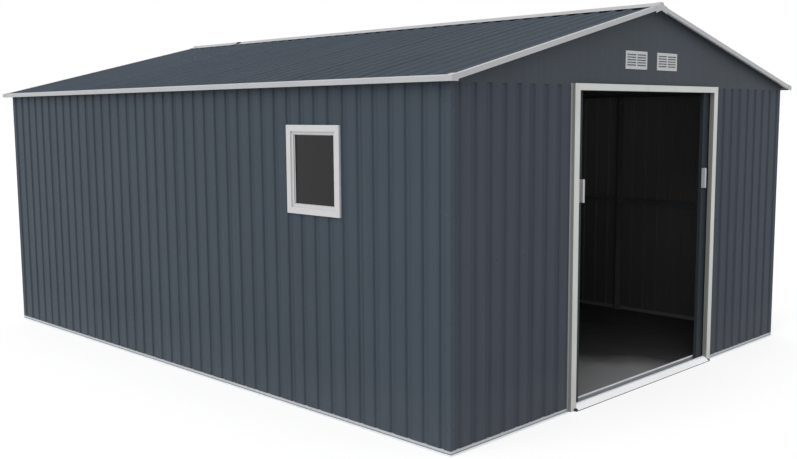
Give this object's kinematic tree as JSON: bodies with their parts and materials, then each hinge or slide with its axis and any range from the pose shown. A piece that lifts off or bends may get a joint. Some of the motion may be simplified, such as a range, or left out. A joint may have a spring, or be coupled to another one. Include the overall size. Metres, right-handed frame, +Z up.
{
  "type": "metal storage shed",
  "caption": "Apex-roofed garden shed of ribbed slate-grey sheet steel with white trims, a wide double sliding doorway, a fixed side window and gable vents.",
  "frame": {"origin": "on the ground at the middle of the whole plan, under the middle of the shed", "axes": "+Z up, -Y out of the front doorway, +X to the right as seen from the front"},
  "size_m": [3.514, 4.62, 2.1881],
  "materials": {
    "slate_sheet": "satin slate grey coating",
    "white_trim": "satin white coating",
    "galvanised": "zinc coated",
    "ramp_white": "satin white coating",
    "floor_grey": "grey painted boards",
    "white_plastic": "satin moulded",
    "light_plastic": "satin moulded",
    "black_plastic": "satin moulded",
    "glass": "clear"
  },
  "bodies": {
    "shed": {"back_gable": "slate_sheet", "back_wall": "slate_sheet", "base_rail_back": "galvanised", "base_rail_front": "galvanised", "base_rail_left": "galvanised", "base_rail_right": "galvanised", "corner_posts": "galvanised", "door_header": "white_trim", "door_jamb_left": "white_trim", "door_jamb_right": "white_trim", "door_ramp": "ramp_white", "door_track_bottom": "galvanised", "door_track_top": "galvanised", "eave_trim_left": "white_trim", "eave_trim_right": "white_trim", "floor": "floor_grey", "front_gable": "slate_sheet", "front_wall_left": "slate_sheet", "front_wall_right": "slate_sheet", "left_wall": "slate_sheet", "mid_rail_back": "galvanised", "mid_rail_left": "galvanised", "mid_rail_right": "galvanised", "ridge_beam": "galvanised", "ridge_cap": "white_trim", "ridge_end_caps": "light_plastic", "right_wall": "slate_sheet", "roof_corner_caps": "light_plastic", "roof_left": "slate_sheet", "roof_purlins": "galvanised", "roof_rafters": "galvanised", "roof_right": "slate_sheet", "top_rail_back": "galvanised", "top_rail_left": "galvanised", "top_rail_right": "galvanised", "vents_back": "white_plastic", "vents_front": "white_plastic", "verge_trim_back": "white_trim", "verge_trim_front": "white_trim", "wall_posts": "galvanised", "window_bead": "white_plastic", "window_frame": "white_plastic", "window_glass": "glass"},
    "left_door": {"door_left_frame": "slate_sheet", "door_left_handle": "white_plastic", "door_left_panel": "slate_sheet", "door_left_sliders": "black_plastic"},
    "right_door": {"door_right_frame": "slate_sheet", "door_right_handle": "white_plastic", "door_right_panel": "slate_sheet", "door_right_sliders": "black_plastic"}
  },
  "joints": [
    {"name": "left_door_slide", "type": "slide", "parent": "shed", "child": "left_door", "axis": [1, 0, 0], "range_m": [0, 0.6485]},
    {"name": "right_door_slide", "type": "slide", "parent": "shed", "child": "right_door", "axis": [-1, 0, 0], "range_m": [0, 0.6485]}
  ]
}
